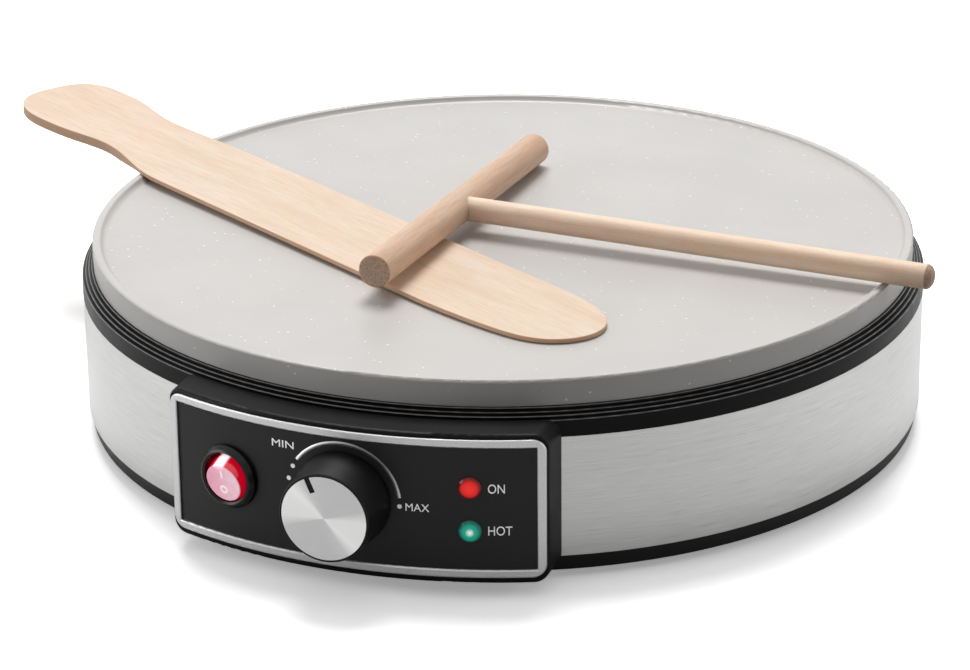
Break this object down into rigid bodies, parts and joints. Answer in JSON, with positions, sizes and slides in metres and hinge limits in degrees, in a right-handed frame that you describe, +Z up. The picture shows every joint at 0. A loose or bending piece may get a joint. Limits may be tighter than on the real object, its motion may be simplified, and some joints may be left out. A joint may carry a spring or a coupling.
{
  "type": "electric crepe maker",
  "caption": "Round countertop crepe maker: lipped hotplate on a steel-banded body, curved panel with dial, rocker switch and lamps, and a wooden spatula and batter spreader.",
  "frame": {"origin": "on the bench plane under the feet, on the vertical axis of the round hotplate", "axes": "+Z up; -Y out of the middle of the control panel, towards the user; +X to the user's right"},
  "size_m": [0.3923, 0.3397, 0.0866],
  "materials": {
    "hotplate": "coated cast plate, satin",
    "ring_black": "fine matt",
    "band_steel": "brushed round the body",
    "tray_black": "fine matt",
    "foot_rubber": "soft matt",
    "housing_black": "satin black",
    "frame_silver": "satin silver",
    "panel_dark": "smooth charcoal",
    "switch_black": "satin black",
    "rocker_red": "clear red",
    "lamp_red": "clear red lens",
    "lamp_green": "clear green lens",
    "knob_black": "satin black",
    "cap_aluminium": "spun in fine circles",
    "spatula_wood": "plain sanded beech",
    "spreader_wood": "plain turned beech",
    "handle_wood": "plain turned beech",
    "gland_black": "moulded",
    "element_steel": "heat-darkened sheath",
    "bright_steel": "zinc-plated",
    "reflector_aluminium": "mill finish",
    "brass": "plain",
    "steatite": "unglazed",
    "copper": "drawn copper",
    "cutout_ceramic": "unglazed",
    "block_white": "moulded white",
    "holder_plastic": "moulded grey",
    "lead_sleeve": "woven glass sleeve"
  },
  "bodies": {
    "maker": {"hotplate": "hotplate", "top_ring": "ring_black", "steel_band": "band_steel", "base_tray": "tray_black", "rubber_feet": "foot_rubber", "control_housing": "housing_black", "trim_frame": "frame_silver", "control_panel": "panel_dark", "switch_case": "switch_black", "power_lamp": "lamp_red", "ready_lamp": "lamp_green", "cord_gland": "gland_black", "heating_element": "element_steel", "element_clamps": "bright_steel", "heat_reflector": "reflector_aluminium", "plate_posts": "bright_steel", "plate_screws": "bright_steel", "housing_screws": "bright_steel", "earth_screw": "brass", "thermostat": "steatite", "thermostat_nut": "brass", "thermostat_bracket": "bright_steel", "sensor_bulb": "copper", "capillary_tube": "copper", "thermal_cutout": "cutout_ceramic", "terminal_block": "block_white", "switch_tabs": "brass", "lamp_bodies": "holder_plastic", "inner_leads": "lead_sleeve"},
    "dial": {"knob": "knob_black", "knob_cap": "cap_aluminium", "thermostat_shaft": "bright_steel"},
    "switch_rocker": {"rocker": "rocker_red"},
    "spatula_tool": {"spatula": "spatula_wood"},
    "spreader_tool": {"spreader_bar": "spreader_wood", "spreader_handle": "handle_wood"}
  },
  "joints": [
    {"name": "knob_turn", "type": "hinge", "parent": "maker", "child": "dial", "pos_m": [0, -0.1663, 0.03285], "axis": [0, -1, 0], "range_deg": [-115, 53]},
    {"name": "rocker_tilt", "type": "hinge", "parent": "maker", "child": "switch_rocker", "pos_m": [-0.04186, -0.15733, 0.03285], "axis": [-0.9664, 0.2571, 0], "range_deg": [0, 24]},
    {"name": "spatula_lift", "type": "slide", "parent": "maker", "child": "spatula_tool", "axis": [0, 0, 1], "range_m": [0, 0.12]},
    {"name": "spreader_lift", "type": "slide", "parent": "spatula_tool", "child": "spreader_tool", "axis": [0, 0, 1], "range_m": [0, 0.12]}
  ]
}
